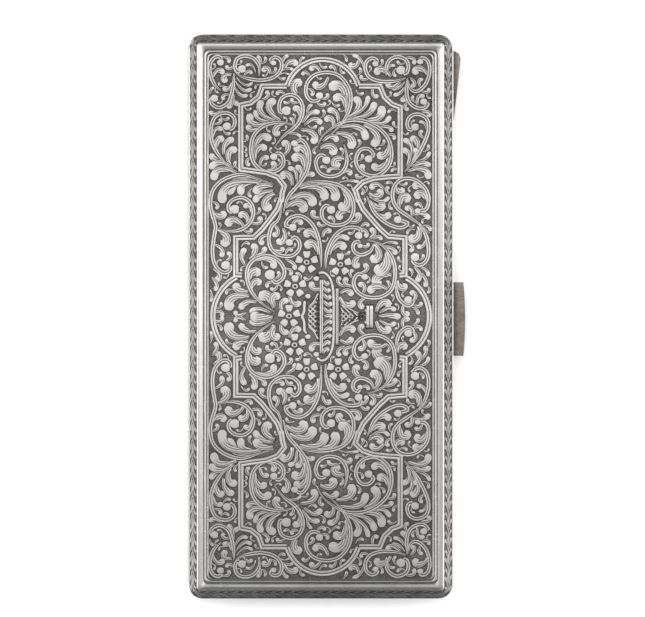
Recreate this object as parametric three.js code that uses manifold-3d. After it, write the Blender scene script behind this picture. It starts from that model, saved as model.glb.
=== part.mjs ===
// A slim engraved silver card case: two shallow trays that close on each other along a
// barrel hinge, with a push catch and a side lever on the front. It lies on its back:
// +X points to the thumb piece, +Y along the case, +Z out of the engraved lid.
import * as THREE from "three";
import { ConvexGeometry } from "three/addons/geometries/ConvexGeometry.js";
import { mergeVertices } from "three/addons/utils/BufferGeometryUtils.js";
import Module from "manifold-3d";

const wasm = await Module();
wasm.setup();

// ---- Driving dimensions, millimetres and degrees ----

// Case
const caseWidth = 62; // across the seam, hinge side to thumb piece side
const caseLength = 131.7;
const caseDepth = 12;
const wall = 0.8;
const slopeWidth = 2.4; // how far the sides lean in between the rim and the flat face
const rimHeight = 0.8; // the upright band of each half next to the seam
const seamCornerRadius = 3.5;
const faceCornerRadius = 0.6;
const seamGap = 0.3;
const seatGap = 0.3; // between a piece and what it is soldered or riveted to
const sideGap = 0.4; // round a piece that slides through a slot
const runGap = 0.1; // round a pin in its tube

// Bezel, the strip inside the base that the lid closes over
const bezelThickness = 0.6;
const bezelBelowSeam = 1.4;
const bezelAboveSeam = 1.2;
const bezelHingeMargin = 4.1; // from the hinge side of the case to the ends of the strip

// Lid hinge
const barrelRadius = 1.3;
const hingePinRadius = 0.6;
const knuckleCount = 7;
const hingeTopMargin = 1.65;
const hingeBottomMargin = 3.25;
const lidOpening = 110;
const stopSlack = 2; // degrees left between the two stop faces of the open lid
const strapThickness = 0.6;
const strapReach = 2.6;
const strapEndMargin = 2.2;

// Thumb piece and its catch
const thumbLength = 17.2;
const thumbShift = -0.6; // its middle, along the case
const thumbReach = 2.4; // how far its ends stand out of the case
const thumbBow = 0.4;
const thumbSink = 0.15; // how far its back lies inside the outer face of the wall
const thumbBottom = 2.2;
const thumbHeight = 3.4;
const shankWidth = 9;
const shankBottom = 3.4;
const shankHeight = 0.8;
const catchTravel = 0.8;
const hookThickness = 0.5;
const hookOverlap = 0.3; // of the hook's nose over the keeper
const noseHeight = 0.6;
const keeperWidth = 8;
const keeperThickness = 0.65;
const keeperHeight = 0.6;

// Catch spring, a strip riveted to a block on the front wall
const springThickness = 0.25;
const springHeight = 1;
const catchSpringLength = 26;
const springBlockLength = 5;
const rivetRadius = 0.35;
const rivetHeadRadius = 0.7;
const rivetHeadThickness = 0.25;

// Side lever
const leverTopMargin = 3.55; // from the top end of the case to the lever's tip
const leverLength = 16.2;
const leverReach = 1.8; // how far its thick end stands out of the case
const leverThinReach = 0.2;
const leverBottom = 2.8;
const leverThickness = 1.4;
const leverArm = 8.5;
const leverArmWidth = 0.5;
const leverHubRadius = 1.4;
const leverPinRadius = 0.5;
const leverHookWidth = 2;
const leverNose = 0.45; // how far its nose lies over the card leaf
const leverPostRadius = 0.6;

// Card leaf, the hinged plate that holds the cards down in the base
const leafThickness = 0.5;
const leafAxisBelowSeam = 0.25;
const leafBarrelRadius = 0.75;
const leafPinRadius = 0.33;
const leafBarrelInset = 4; // from the hinge side of the case to its axis
const leafFrontMargin = 3.65;
const leafEndMargin = 4.2;
const leafCornerRadius = 2;
const leafNotchRadius = 7;
const leafBarrelEndMargin = 16;
const leafKnuckleLength = 8.5;

// ---- Sizes that follow from them ----

const halfWidth = caseWidth / 2;
const halfLength = caseLength / 2;
const seamHeight = caseDepth / 2;
const rimStart = seamHeight - rimHeight;
const hingeX = -halfWidth + barrelRadius;
const grooveRadius = barrelRadius + seatGap;
const hingeBottom = -halfLength + hingeBottomMargin;
const hingeTop = halfLength - hingeTopMargin;
const segments = 20;
const cornerSteps = 5;
const far = 2 * (caseWidth + caseLength); // longer than anything it has to cut through
const beyond = 1; // how far a cutting tool passes the face it cuts

// ---- Finishes ----

const metal = (color, roughness) =>
  new THREE.MeshStandardMaterial({ color, roughness, metalness: 1 });
const engravedSilver = metal(0x9b9994, 0.45);
const plainSilver = metal(0xb4b2ac, 0.35);
const wornNickel = metal(0x7c7670, 0.5);
const giltSilver = metal(0xc9a24e, 0.35);
const springSteel = metal(0x6d7075, 0.4);

// ---- Making and joining solids ----

function solidOf(geometry) {
  const bare = geometry.clone();
  bare.deleteAttribute("normal");
  bare.deleteAttribute("uv");
  const merged = mergeVertices(bare, 1e-4);
  return new wasm.Manifold(
    new wasm.Mesh({
      numProp: 3,
      vertProperties: merged.attributes.position.array,
      triVerts: new Uint32Array(merged.index.array),
    }),
  );
}

function geometryOf(solid) {
  const { vertProperties, triVerts } = solid.getMesh();
  return new THREE.BufferGeometry()
    .setAttribute("position", new THREE.BufferAttribute(vertProperties, 3))
    .setIndex(new THREE.BufferAttribute(triVerts, 1));
}

const join = (solids) => solids.reduce((whole, next) => whole.add(next));
const cut = (solid, tools) => tools.reduce((left, tool) => left.subtract(tool), solid);

// A block between two values on each axis.
function block([x0, x1], [y0, y1], [z0, z1]) {
  const box = new THREE.BoxGeometry(x1 - x0, y1 - y0, z1 - z0);
  return solidOf(box.translate((x0 + x1) / 2, (y0 + y1) / 2, (z0 + z1) / 2));
}

// A flat plate of the given plan outline.
function plate(shape, [z0, z1], curveSegments = 8) {
  const options = { depth: z1 - z0, bevelEnabled: false, curveSegments };
  return solidOf(new THREE.ExtrudeGeometry(shape, options).translate(0, 0, z0));
}

const outlineOf = (points) => new THREE.Shape(points.map(([x, y]) => new THREE.Vector2(x, y)));

// Round bars along Y and along Z.
function barAlongY(radius, [y0, y1], x = 0, z = 0) {
  const bar = new THREE.CylinderGeometry(radius, radius, y1 - y0, segments);
  return solidOf(bar.translate(x, (y0 + y1) / 2, z));
}

function barAlongZ(radius, [z0, z1], x = 0, y = 0) {
  const bar = new THREE.CylinderGeometry(radius, radius, z1 - z0, segments);
  return solidOf(bar.rotateX(Math.PI / 2).translate(x, y, (z0 + z1) / 2));
}

const tubeAlongY = (outer, bore, [y0, y1]) =>
  barAlongY(outer, [y0, y1]).subtract(barAlongY(bore, [y0 - beyond, y1 + beyond]));

function piece(name, shape, material, [x, y, z] = [0, 0, 0]) {
  const mesh = new THREE.Mesh(geometryOf(shape), material);
  mesh.name = name;
  mesh.position.set(x, y, z);
  return mesh;
}

function body(...pieces) {
  const group = new THREE.Group();
  group.add(...pieces);
  return group;
}

// ---- The two shells ----

// Where a height above the flat face of each half lies on Z.
const baseHeight = (height) => height;
const lidHeight = (height) => caseDepth - height;

// How far the side has leaned in at a height above the flat face of its half.
const lean = (height) => slopeWidth * Math.max(0, 1 - height / rimStart);

// The rounded outline of a half at one height, set in from its outer surface.
function ring(height, inside, z) {
  const share = Math.min(1, height / rimStart);
  const outerRadius = faceCornerRadius + (seamCornerRadius - faceCornerRadius) * share;
  const radius = Math.max(0.2, outerRadius - inside);
  const x = halfWidth - lean(height) - inside - radius;
  const y = halfLength - lean(height) - inside - radius;
  const points = [];
  for (const [signX, signY, start] of [[1, 1, 0], [-1, 1, 1], [-1, -1, 2], [1, -1, 3]]) {
    for (let step = 0; step <= cornerSteps; step += 1) {
      const angle = ((start + step / cornerSteps) * Math.PI) / 2;
      points.push(
        new THREE.Vector3(
          signX * x + radius * Math.cos(angle),
          signY * y + radius * Math.sin(angle),
          z,
        ),
      );
    }
  }
  return points;
}

// A half of the case filled solid, from one height above its face to another.
function filledHalf(heightOnZ, from, to, inside) {
  const heights = [from, ...(rimStart > from && rimStart < to ? [rimStart] : []), to];
  const rings = heights.map((height) => ring(height, inside, heightOnZ(height)));
  return solidOf(new ConvexGeometry(rings.flat()));
}

// Each half ends at the hinge in a stop face on a plane through the hinge axis. The two
// faces meet when the lid is fully open.
function hingeClearance(side) {
  const stopAngle = THREE.MathUtils.degToRad((lidOpening + stopSlack) / 2);
  const rise = side * Math.tan(stopAngle) * far;
  const wedge = outlineOf(side > 0 ? [[0, 0], [0, -far], [-far, -far], [-far, rise]]
    : [[0, 0], [-far, rise], [-far, far], [0, far]]);
  const prism = new THREE.ExtrudeGeometry(wedge, { depth: 2 * far, bevelEnabled: false });
  prism.translate(0, 0, -far).rotateX(Math.PI / 2).translate(hingeX, 0, seamHeight);
  const groove = [hingeBottom - seatGap, hingeTop + seatGap];
  return [solidOf(prism), barAlongY(grooveRadius, groove, hingeX, seamHeight)];
}

function halfShell(heightOnZ, side) {
  const outer = filledHalf(heightOnZ, 0, seamHeight - seamGap / 2, 0);
  const hollow = filledHalf(heightOnZ, wall, seamHeight + beyond, wall);
  return cut(outer, [hollow, ...hingeClearance(side)]);
}

// ---- Lid hinge ----

const knucklePitch = (hingeTop - hingeBottom + seatGap) / knuckleCount;
const knuckleLength = knucklePitch - seatGap;

// A tube with a strap that is soldered to the wall of its half: +1 for the lid, -1 for
// the base.
function knuckle(side) {
  const strapLeft = barrelRadius - strapThickness - 0.1;
  const strap = block(
    [strapLeft, strapLeft + strapThickness],
    [strapEndMargin, knuckleLength - strapEndMargin],
    side > 0 ? [0, strapReach] : [-strapReach, 0],
  );
  const bore = barAlongY(hingePinRadius + runGap, [-beyond, knuckleLength + beyond]);
  return join([barAlongY(barrelRadius, [0, knuckleLength]), strap]).subtract(bore);
}

const knuckles = { lid: [], base: [] };
for (let index = 0; index < knuckleCount; index += 1) {
  const half = index % 2 ? "lid" : "base";
  const name = `${half}_knuckle_${knuckles[half].length + 1}`;
  const place = [hingeX, hingeBottom + index * knucklePitch, seamHeight];
  knuckles[half].push(piece(name, knuckle(half === "lid" ? 1 : -1), plainSilver, place));
}

const hingePin = piece(
  "hinge_pin",
  barAlongY(hingePinRadius, [hingeBottom, hingeTop]),
  springSteel,
  [hingeX, 0, seamHeight],
);

// ---- Bezel ----

const bezelBottom = seamHeight - bezelBelowSeam;
const bezelTop = seamHeight + bezelAboveSeam;
const bezelInset = wall + lean(bezelBottom) + seatGap;
const bezelInnerFace = halfWidth - bezelInset - bezelThickness;

// ---- Thumb piece, catch hook and keeper ----

const shankSpan = [shankBottom, shankBottom + shankHeight];
const hookOuterFace = bezelInnerFace - seatGap;
const hookInnerFace = hookOuterFace - hookThickness;
const keeperBottom = seamHeight + seatGap;
const noseBottom = keeperBottom + keeperHeight + seatGap;
const keeperOuterFace = halfWidth - wall - lean(caseDepth - keeperBottom - keeperHeight) - seatGap;
const keeperInnerFace = keeperOuterFace - keeperThickness;

// The grip fills its window in the front wall, and its back follows the leaning side.
function thumbPiece() {
  const outerFace = halfWidth + thumbReach;
  const back = halfWidth - slopeWidth;
  const plan = new THREE.Shape();
  plan.moveTo(back, -thumbLength / 2);
  plan.lineTo(outerFace, -thumbLength / 2);
  plan.quadraticCurveTo(outerFace + 2 * thumbBow, 0, outerFace, thumbLength / 2);
  plan.lineTo(back, thumbLength / 2);
  const grip = plate(plan, [thumbBottom, thumbBottom + thumbHeight]);
  const shank = block(
    [hookOuterFace + seatGap, halfWidth + beyond],
    [-shankWidth / 2, shankWidth / 2],
    shankSpan,
  );
  return join([grip.subtract(filledHalf(baseHeight, 0, seamHeight, thumbSink)), shank]);
}

function catchHook() {
  const across = [-shankWidth / 2, shankWidth / 2];
  const upright = block([hookInnerFace, hookOuterFace], across, [shankBottom, noseBottom + noseHeight]);
  const nose = block(
    [hookInnerFace, keeperInnerFace + hookOverlap],
    across,
    [noseBottom, noseBottom + noseHeight],
  );
  return join([upright, nose]);
}

const keeper = block(
  [keeperInnerFace, keeperOuterFace],
  [-keeperWidth / 2, keeperWidth / 2],
  [keeperBottom, keeperBottom + keeperHeight],
);

// ---- Catch spring ----

const catchSpringFace = hookInnerFace - seatGap; // its side towards the hook
const catchSpringBottom = shankBottom + 0.1;
const rivetY = catchSpringLength - springBlockLength / 2;
const rivetZ = catchSpringBottom + springHeight / 2;

// A bar along X, for rivets and their holes.
function barAlongX(radius, [x0, x1], y, z) {
  const bar = new THREE.CylinderGeometry(radius, radius, x1 - x0, segments);
  return solidOf(bar.rotateZ(Math.PI / 2).translate((x0 + x1) / 2, y, z));
}

const rivetHole = barAlongX(rivetRadius + runGap, [0, far], rivetY, rivetZ);
const springBlockFace = catchSpringFace + seatGap;
const springBlockBack = halfWidth - wall - lean(catchSpringBottom) - seatGap;

const catchSpring = block(
  [catchSpringFace - springThickness, catchSpringFace],
  [-shankWidth / 2, catchSpringLength],
  [catchSpringBottom, catchSpringBottom + springHeight],
).subtract(rivetHole);

const springBlock = block(
  [springBlockFace, springBlockBack],
  [catchSpringLength - springBlockLength, catchSpringLength],
  [catchSpringBottom, catchSpringBottom + springHeight],
).subtract(rivetHole);

function catchRivet() {
  const headFace = catchSpringFace - springThickness - runGap;
  const head = [headFace - rivetHeadThickness, headFace];
  return join([
    barAlongX(rivetRadius, [head[0] + 0.1, springBlockBack], rivetY, rivetZ),
    barAlongX(rivetHeadRadius, head, rivetY, rivetZ),
  ]);
}

// ---- Side lever ----

const leverTip = halfLength - leverTopMargin;
const pivotX = halfWidth - 3.6;
const pivotY = leverTip - leverLength - 0.1;
const leverSpan = [leverBottom, leverBottom + leverThickness];
const leafAxisZ = seamHeight - leafAxisBelowSeam;
const leafBottom = leafAxisZ - leafThickness / 2;
const leafFrontEdge = halfWidth - leafFrontMargin;
const armOuterFace = leafFrontEdge + 0.35 + leverArmWidth;
const armEnd = pivotY - leverArm;
const leverNoseBottom = leafBottom + leafThickness + seatGap;

function sideLever() {
  const wing = outlineOf([
    [pivotX, pivotY - leverHubRadius * 0.8],
    [halfWidth + leverThinReach, leverTip - leverLength],
    [halfWidth + leverReach, leverTip - 1.9],
    [halfWidth + leverReach - 0.45, leverTip - 0.75],
    [halfWidth - 0.2, leverTip],
    [halfWidth - 1.4, leverTip - 0.6],
    [pivotX + 0.5, pivotY + leverHubRadius * 0.8],
  ]);
  const arm = outlineOf([
    [armOuterFace - leverArmWidth, armEnd],
    [armOuterFace, armEnd],
    [armOuterFace, pivotY],
    [pivotX, pivotY],
  ]);
  const hookAlong = [armEnd, armEnd + leverHookWidth];
  const hookTop = leverNoseBottom + 0.4;
  const upright = block([armOuterFace - leverArmWidth, armOuterFace], hookAlong, [leverBottom, hookTop]);
  const nose = block([leafFrontEdge - leverNose, armOuterFace], hookAlong, [leverNoseBottom, hookTop]);
  const hub = barAlongZ(leverHubRadius, leverSpan, pivotX, pivotY);
  const lever = join([plate(wing, leverSpan), plate(arm, leverSpan), upright, nose, hub]);
  return lever.subtract(barAlongZ(leverPinRadius + runGap, [0, caseDepth], pivotX, pivotY));
}

const leverPin = join([
  barAlongZ(leverPinRadius, [wall + seatGap, leverSpan[1] + seatGap], 0, 0),
  barAlongZ(leverHubRadius * 0.7, [leverSpan[1] + runGap, leverSpan[1] + 0.5], 0, 0),
]);

// The lever's return spring is hooked round a post on the floor of the base.
const postX = pivotX - 1;
const postY = pivotY + 6;
const leverSpringSpan = [leverBottom + 0.2, leverBottom + 0.2 + springHeight];
const springEye = leverPostRadius + seatGap;

function leverSpring() {
  const eye = barAlongZ(springEye + springThickness, leverSpringSpan, postX, postY);
  const strip = outlineOf([
    [postX + springEye, postY],
    [postX + springEye + springThickness, postY],
    [halfWidth - 2.2, leverTip - 2.4],
    [halfWidth - 2.2 - springThickness, leverTip - 2.4],
  ]);
  const hole = barAlongZ(springEye, [0, caseDepth], postX, postY);
  return join([eye, plate(strip, leverSpringSpan)]).subtract(hole);
}

const leverPost = barAlongZ(leverPostRadius, [wall + seatGap, leverSpringSpan[1] + seatGap]);

// ---- Card leaf ----

const leafAxisX = -halfWidth + leafBarrelInset;
const leafBackEdge = leafAxisX + leafBarrelRadius + seatGap;
const leafHalfLength = halfLength - leafEndMargin;
const leafBarrelEnd = halfLength - leafBarrelEndMargin;

function cardLeaf() {
  const plan = new THREE.Shape();
  plan.moveTo(leafBackEdge, -leafHalfLength);
  plan.lineTo(leafFrontEdge - leafCornerRadius, -leafHalfLength);
  plan.absarc(leafFrontEdge - leafCornerRadius, -leafHalfLength + leafCornerRadius,
    leafCornerRadius, -Math.PI / 2, 0);
  plan.lineTo(leafFrontEdge, thumbShift - leafNotchRadius);
  plan.absarc(leafFrontEdge, thumbShift, leafNotchRadius, -Math.PI / 2, Math.PI / 2, true);
  plan.absarc(leafFrontEdge - leafCornerRadius, leafHalfLength - leafCornerRadius,
    leafCornerRadius, 0, Math.PI / 2);
  plan.lineTo(leafBackEdge, leafHalfLength);
  return plate(plan, [leafBottom, leafBottom + leafThickness]);
}

// The leaf's fixed knuckles are soldered to the straps of the outermost lid knuckles.
function leafKnuckle() {
  const strapFace = hingeX + barrelRadius - 0.1;
  const lug = block(
    [strapFace + seatGap - leafAxisX, 0],
    [0, leafKnuckleLength],
    [-leafBarrelRadius * 0.6, leafBarrelRadius * 0.6],
  );
  const bore = barAlongY(leafPinRadius + runGap, [-beyond, leafKnuckleLength + beyond]);
  return join([barAlongY(leafBarrelRadius, [0, leafKnuckleLength]), lug]).subtract(bore);
}

const leafPinEnd = leafBarrelEnd + seatGap + leafKnuckleLength;

// ---- Shells with their openings ----

function baseShell() {
  const thumbWindow = block(
    [halfWidth - wall - slopeWidth, halfWidth + beyond],
    [thumbShift - thumbLength / 2 - seatGap, thumbShift + thumbLength / 2 + seatGap],
    [thumbBottom - seatGap, caseDepth],
  );
  const leverSlot = block(
    [halfWidth - wall - slopeWidth, halfWidth + beyond],
    [pivotY - leverHubRadius, leverTip + 1.5 * sideGap],
    [leverSpan[0] - sideGap, leverSpan[1] + sideGap],
  );
  return cut(halfShell(baseHeight, -1), [thumbWindow, leverSlot]);
}

function bezel() {
  const band = (inset, z0, z1) =>
    solidOf(new ConvexGeometry([...ring(rimStart, inset, z0), ...ring(rimStart, inset, z1)]));
  const strip = band(bezelInset, bezelBottom, bezelTop).subtract(
    band(bezelInset + bezelThickness, bezelBottom - beyond, bezelTop + beyond),
  );
  const hingeSide = block([-far, -halfWidth + bezelHingeMargin], [-far, far], [0, caseDepth]);
  const catchNotch = block(
    [0, far],
    [thumbShift - shankWidth / 2 - sideGap, thumbShift + shankWidth / 2 + sideGap],
    [bezelBottom + 0.6, caseDepth],
  );
  return cut(strip, [hingeSide, catchNotch]);
}

// ---- Assembly ----

const base = body(
  piece("base_shell", baseShell(), engravedSilver),
  piece("base_bezel", bezel(), giltSilver),
  ...knuckles.base,
  hingePin,
  piece("catch_spring", catchSpring, springSteel, [0, thumbShift, 0]),
  piece("catch_spring_block", springBlock, giltSilver, [0, thumbShift, 0]),
  piece("catch_spring_rivet", catchRivet(), springSteel, [0, thumbShift, 0]),
  piece("lever_pin", leverPin, springSteel, [pivotX, pivotY, 0]),
  piece("lever_spring", leverSpring(), springSteel),
  piece("lever_spring_post", leverPost, giltSilver, [postX, postY, 0]),
  piece("leaf_knuckle_lower", leafKnuckle(), giltSilver, [leafAxisX, -leafPinEnd, leafAxisZ]),
  piece("leaf_knuckle_upper", leafKnuckle(), giltSilver,
    [leafAxisX, leafBarrelEnd + seatGap, leafAxisZ]),
  piece("leaf_pin", barAlongY(leafPinRadius, [-leafPinEnd, leafPinEnd]), springSteel,
    [leafAxisX, 0, leafAxisZ]),
);

const lid = body(
  piece("lid_shell", halfShell(lidHeight, 1), engravedSilver),
  ...knuckles.lid,
  piece("lid_keeper", keeper, giltSilver, [0, thumbShift, 0]),
);

const thumbCatch = body(
  piece("thumb_piece", thumbPiece(), wornNickel, [0, thumbShift, 0]),
  piece("catch_hook", catchHook(), wornNickel, [0, thumbShift, 0]),
);

const lever = body(piece("side_lever", sideLever(), wornNickel));

const leaf = body(
  piece("card_leaf", cardLeaf(), giltSilver),
  piece("leaf_barrel", tubeAlongY(leafBarrelRadius, leafPinRadius + runGap,
    [-leafBarrelEnd, leafBarrelEnd]), giltSilver, [leafAxisX, 0, leafAxisZ]),
);

const cardCase = new THREE.Group();
cardCase.add(base, lid, thumbCatch, lever, leaf);

export default cardCase;
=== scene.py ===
import math

import bmesh
import bpy
import numpy as np
from mathutils import Matrix, Vector


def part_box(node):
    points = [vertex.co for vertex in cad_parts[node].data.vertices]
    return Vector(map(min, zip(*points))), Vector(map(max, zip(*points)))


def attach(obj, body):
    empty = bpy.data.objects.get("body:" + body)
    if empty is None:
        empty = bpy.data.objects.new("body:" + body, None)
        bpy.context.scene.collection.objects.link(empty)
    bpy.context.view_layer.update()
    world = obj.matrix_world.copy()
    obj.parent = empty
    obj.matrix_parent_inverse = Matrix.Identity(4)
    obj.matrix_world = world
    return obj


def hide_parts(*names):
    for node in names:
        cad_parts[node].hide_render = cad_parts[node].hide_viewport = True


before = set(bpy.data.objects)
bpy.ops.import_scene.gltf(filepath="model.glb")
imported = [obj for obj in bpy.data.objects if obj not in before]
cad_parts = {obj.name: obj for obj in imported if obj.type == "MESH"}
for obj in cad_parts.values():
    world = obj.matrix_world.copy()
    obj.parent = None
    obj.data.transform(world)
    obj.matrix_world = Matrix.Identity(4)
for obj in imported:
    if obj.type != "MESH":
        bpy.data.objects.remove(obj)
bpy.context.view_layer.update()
MM = 0.001

# ---- Studio: camera, floor and light ----
# The case lies on its back on a white floor and is seen from straight above through a
# long lens. Soft panels stand to the left and right, and the overhead one is behind it.
VIEW_WIDTH = 0.1498
VIEW_CENTRE = (0.00046, 0.00186)
CAMERA_HEIGHT = 1.1
SENSOR = 36.0

camera = bpy.data.objects.new("camera", bpy.data.cameras.new("camera"))
camera.data.sensor_width = SENSOR
camera.data.lens = SENSOR * (CAMERA_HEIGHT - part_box("lid_shell")[1].z) / VIEW_WIDTH
camera.location = (*VIEW_CENTRE, CAMERA_HEIGHT)
bpy.context.scene.collection.objects.link(camera)
bpy.context.scene.camera = camera
bpy.context.scene.view_settings.view_transform = "Standard"


def panel_light(name, place, target, size, power):
    light = bpy.data.lights.new(name, "AREA")
    light.shape = "RECTANGLE"
    light.size, light.size_y = size
    light.energy = power
    lamp = bpy.data.objects.new(name, light)
    lamp.location = place
    lamp.rotation_euler = (Vector(target) - Vector(place)).to_track_quat("-Z", "Y").to_euler()
    bpy.context.scene.collection.objects.link(lamp)


panel_light("overhead", (0.0, 0.2, 0.8), (0, 0, 0), (0.7, 0.3), 1.9)
panel_light("left_panel", (-0.5, 0.02, 0.2), (0, 0, 0), (0.5, 0.4), 1.9)
panel_light("right_panel", (0.5, 0.02, 0.2), (0, 0, 0), (0.5, 0.4), 2.0)

world = bpy.data.worlds.new("white_room")
world.use_nodes = True
world.node_tree.nodes["Background"].inputs["Color"].default_value = (1, 1, 1, 1)
world.node_tree.nodes["Background"].inputs["Strength"].default_value = 0.66
bpy.context.scene.world = world

bm = bmesh.new()
bmesh.ops.create_grid(bm, x_segments=1, y_segments=1, size=3)
floor_mesh = bpy.data.meshes.new("floor")
bm.to_mesh(floor_mesh)
bm.free()
floor = bpy.data.objects.new("floor", floor_mesh)
bpy.context.scene.collection.objects.link(floor)
floor_paint = bpy.data.materials.new("floor_paint")
floor_paint.use_nodes = True
floor_paint.node_tree.nodes["Principled BSDF"].inputs["Base Color"].default_value = (0.95, 0.95, 0.95, 1)
floor_paint.node_tree.nodes["Principled BSDF"].inputs["Roughness"].default_value = 0.9
floor_paint.node_tree.nodes["Principled BSDF"].inputs["Emission Color"].default_value = (1, 1, 1, 1)
floor_paint.node_tree.nodes["Principled BSDF"].inputs["Emission Strength"].default_value = 0.18
floor_mesh.materials.append(floor_paint)

# ---- Silver ----
# Old silver, bright where it is rubbed and grey where it has tarnished. One group gives
# the tarnish, the fine scratches and the small dents of every silver surface.


def new_group(name, inputs, outputs):
    group = bpy.data.node_groups.new(name, "ShaderNodeTree")
    for socket, kind, value in inputs:
        made = group.interface.new_socket(socket, in_out="INPUT", socket_type=kind)
        made.default_value = value
    for socket, kind in outputs:
        group.interface.new_socket(socket, in_out="OUTPUT", socket_type=kind)
    return group, group.nodes.new("NodeGroupInput"), group.nodes.new("NodeGroupOutput")


def node(tree, kind, **settings):
    made = tree.nodes.new(kind)
    for key, value in settings.items():
        setattr(made, key, value)
    return made


def feed(tree, socket, value):
    """Links an output socket, or sets a constant."""
    if isinstance(value, bpy.types.NodeSocket):
        tree.links.new(value, socket)
    else:
        socket.default_value = value


def maths(tree, operation, *values):
    made = node(tree, "ShaderNodeMath", operation=operation)
    for socket, value in zip(made.inputs, values):
        feed(tree, socket, value)
    return made.outputs[0]


def blend_colour(tree, share, first, second, kind="MIX"):
    made = node(tree, "ShaderNodeMix", data_type="RGBA", blend_type=kind)
    for name, value in (("Factor", share), ("A", first), ("B", second)):
        sockets = [s for s in made.inputs if s.name == name and s.enabled]
        feed(tree, sockets[0], value)
    return [s for s in made.outputs if s.enabled][0]


def ramp(tree, value, low, high, to_low=0.0, to_high=1.0):
    made = node(tree, "ShaderNodeMapRange", interpolation_type="SMOOTHSTEP")
    for socket, number in zip(made.inputs, (value, low, high, to_low, to_high)):
        feed(tree, socket, number)
    return made.outputs[0]


def noise(tree, vector, scale, detail=3.0, roughness=0.55):
    made = node(tree, "ShaderNodeTexNoise")
    feed(tree, made.inputs["Vector"], vector)
    made.inputs["Scale"].default_value = scale
    made.inputs["Detail"].default_value = detail
    made.inputs["Roughness"].default_value = roughness
    return made.outputs["Fac"]


def stretched(tree, vector, scale, turn=0.0):
    made = node(tree, "ShaderNodeMapping")
    feed(tree, made.inputs["Vector"], vector)
    made.inputs["Rotation"].default_value = (0, 0, turn)
    made.inputs["Scale"].default_value = scale
    return made.outputs["Vector"]


worn, worn_in, worn_out = new_group(
    "worn_metal",
    [("Vector", "NodeSocketVector", (0, 0, 0)), ("Bright", "NodeSocketColor", (0.6, 0.6, 0.58, 1)),
     ("Tarnish", "NodeSocketColor", (0.3, 0.28, 0.25, 1)), ("Wear", "NodeSocketFloat", 0.5),
     ("Roughness", "NodeSocketFloat", 0.35)],
    [("Color", "NodeSocketColor"), ("Roughness", "NodeSocketFloat"), ("Height", "NodeSocketFloat")],
)
place = worn_in.outputs["Vector"]
cloud = ramp(worn, noise(worn, place, 55, 4), 0.38, 0.68)
grime = ramp(worn, noise(worn, place, 420, 3), 0.45, 0.75)
scratch_a = ramp(worn, noise(worn, stretched(worn, place, (260, 6500, 900), 0.35), 1.0, 2), 0.62, 0.7)
scratch_b = ramp(worn, noise(worn, stretched(worn, place, (5200, 240, 900), 0.2), 1.0, 2), 0.64, 0.72)
scratches = maths(worn, "MAXIMUM", scratch_a, scratch_b)
dull = maths(worn, "MULTIPLY", maths(worn, "ADD", maths(worn, "MULTIPLY", cloud, 0.55),
                                     maths(worn, "MULTIPLY", grime, 0.45)), worn_in.outputs["Wear"])
tone = blend_colour(worn, dull, worn_in.outputs["Bright"], worn_in.outputs["Tarnish"])
tone = blend_colour(worn, maths(worn, "MULTIPLY", scratches, 0.22), tone, (0.85, 0.85, 0.84, 1))
feed(worn, worn_out.inputs["Color"], tone)
feed(worn, worn_out.inputs["Roughness"],
     maths(worn, "ADD", worn_in.outputs["Roughness"],
           maths(worn, "SUBTRACT", maths(worn, "MULTIPLY", dull, 0.22), maths(worn, "MULTIPLY", scratches, 0.06))))
feed(worn, worn_out.inputs["Height"],
     maths(worn, "SUBTRACT", maths(worn, "MULTIPLY", noise(worn, place, 900, 2), 0.35),
           maths(worn, "MULTIPLY", scratches, 0.6)))


def metal(name, colour, height, roughness, tree, bump=0.00002, strength=0.5):
    """Joins a colour, a height and a roughness to the metal's own shader."""
    shader = tree.nodes["Principled BSDF"]
    shader.inputs["Metallic"].default_value = 1.0
    feed(tree, shader.inputs["Base Color"], colour)
    feed(tree, shader.inputs["Roughness"], roughness)
    relief = node(tree, "ShaderNodeBump")
    relief.inputs["Distance"].default_value = bump
    relief.inputs["Strength"].default_value = strength
    feed(tree, relief.inputs["Height"], height)
    feed(tree, shader.inputs["Normal"], relief.outputs["Normal"])


def new_material(name):
    made = bpy.data.materials.new(name)
    made.use_nodes = True
    return made, made.node_tree


def worn_finish(tree, bright, tarnish, wear, roughness):
    made = node(tree, "ShaderNodeGroup", node_tree=worn)
    coords = node(tree, "ShaderNodeTexCoord").outputs["Object"]
    for socket, value in zip(made.inputs, (coords, bright, tarnish, wear, roughness)):
        feed(tree, socket, value)
    return coords, made.outputs


BRIGHT_SILVER = (0.55, 0.545, 0.53, 1)
CUT_SILVER = (0.5, 0.487, 0.47, 1)
GREY_SILVER = (0.36, 0.35, 0.33, 1)
OXIDE = (0.055, 0.052, 0.048, 1)

plain_silver, tree = new_material("plain_silver")
coords, finish = worn_finish(tree, BRIGHT_SILVER, GREY_SILVER, 0.35, 0.32)
# painted shade: the two short ends are darker than the long sides, with a mitred edge between them, and the lower end
# is darker than the upper
where = node(tree, "ShaderNodeSeparateXYZ")
feed(tree, where.inputs[0], coords)
across_case = maths(tree, "ABSOLUTE", where.outputs["X"])
along_case = maths(tree, "ABSOLUTE", where.outputs["Y"])
painted_end_share = ramp(tree, maths(tree, "SUBTRACT", along_case, across_case), 0.0337, 0.036)
lower = ramp(tree, where.outputs["Y"], -0.02, 0.02, 0.36, 0.62)
painted_end_tone = blend_colour(tree, lower, (0, 0, 0, 1), finish["Color"])
shade = blend_colour(tree, painted_end_share, finish["Color"], painted_end_tone)
metal("plain_silver", shade, finish["Height"], finish["Roughness"], tree)

# ---- Engraved ground and cut ornament ----
# The ground of the engraving is hatched with fine crossed cuts and blackened. The ornament
# stands up to the plain surface, bright on top, with a black line cut round each leaf.

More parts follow.
